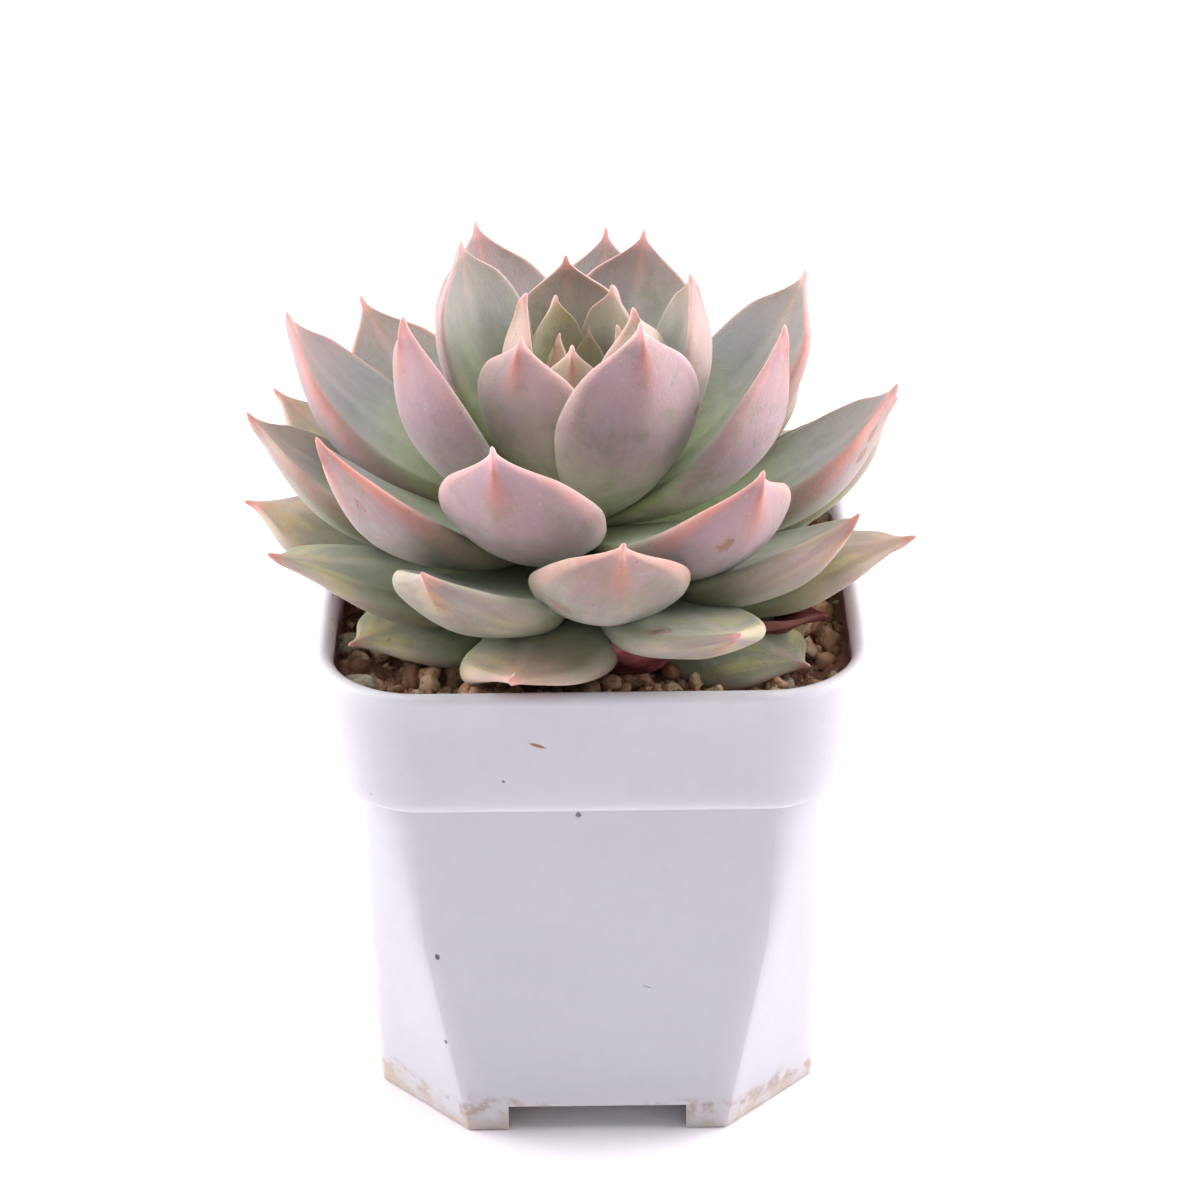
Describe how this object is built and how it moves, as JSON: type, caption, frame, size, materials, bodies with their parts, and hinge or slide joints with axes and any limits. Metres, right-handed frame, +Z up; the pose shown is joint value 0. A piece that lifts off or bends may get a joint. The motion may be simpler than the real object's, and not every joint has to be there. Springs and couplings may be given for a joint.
{
  "type": "potted rosette succulent",
  "caption": "Rosette succulent with plump pointed leaves spiralling round a short stem, in gritty soil in a square tapered plastic pot with a deep rim band, cut corners and notched feet.",
  "frame": {"origin": "on the plane that the pot's feet stand on, under the middle of the bounding box of the whole plant", "axes": "+Z up along the stem, +X and +Y square to the pot's sides, the front of the plant towards -Y"},
  "size_m": [0.086, 0.0836, 0.1111],
  "materials": {
    "pot_plastic": "satin moulded, slightly translucent white",
    "soil_grit": "loose burnt-clay grains",
    "pale_grit": "rough pale grain",
    "stem_bark": "dry and scarred",
    "leaf": "powdery bloom over waxy skin",
    "withered_leaf": "dry and crinkled"
  },
  "bodies": {
    "root": {"leaf_01": "leaf", "leaf_02": "leaf", "leaf_03": "leaf", "leaf_04": "leaf", "leaf_05": "leaf", "leaf_06": "leaf", "leaf_07": "leaf", "leaf_08": "leaf", "leaf_09": "leaf", "leaf_10": "leaf", "leaf_11": "leaf", "leaf_12": "leaf", "leaf_13": "leaf", "leaf_14": "leaf", "leaf_15": "leaf", "leaf_16": "leaf", "leaf_17": "leaf", "leaf_18": "leaf", "leaf_19": "leaf", "leaf_20": "leaf", "leaf_21": "leaf", "leaf_22": "leaf", "leaf_23": "leaf", "leaf_24": "leaf", "leaf_25": "leaf", "leaf_26": "leaf", "leaf_27": "leaf", "leaf_28": "leaf", "leaf_29": "leaf", "leaf_30": "leaf", "leaf_31": "leaf", "leaf_32": "leaf", "leaf_33": "leaf", "leaf_34": "leaf", "leaf_35": "leaf", "leaf_36": "leaf", "leaf_37": "leaf", "leaf_38": "leaf", "leaf_39": "leaf", "leaf_40": "leaf", "leaf_41": "leaf", "leaf_42": "leaf", "leaf_43": "leaf", "leaf_44": "leaf", "leaf_45": "leaf", "leaf_46": "leaf", "pot": "pot_plastic", "soil": "soil_grit", "stem": "stem_bark", "stone_01": "pale_grit", "stone_02": "pale_grit", "stone_03": "pale_grit", "stone_04": "pale_grit", "stone_05": "pale_grit", "withered_leaf_01": "withered_leaf", "withered_leaf_02": "withered_leaf", "withered_leaf_03": "withered_leaf", "withered_leaf_04": "withered_leaf"}
  },
  "joints": []
}
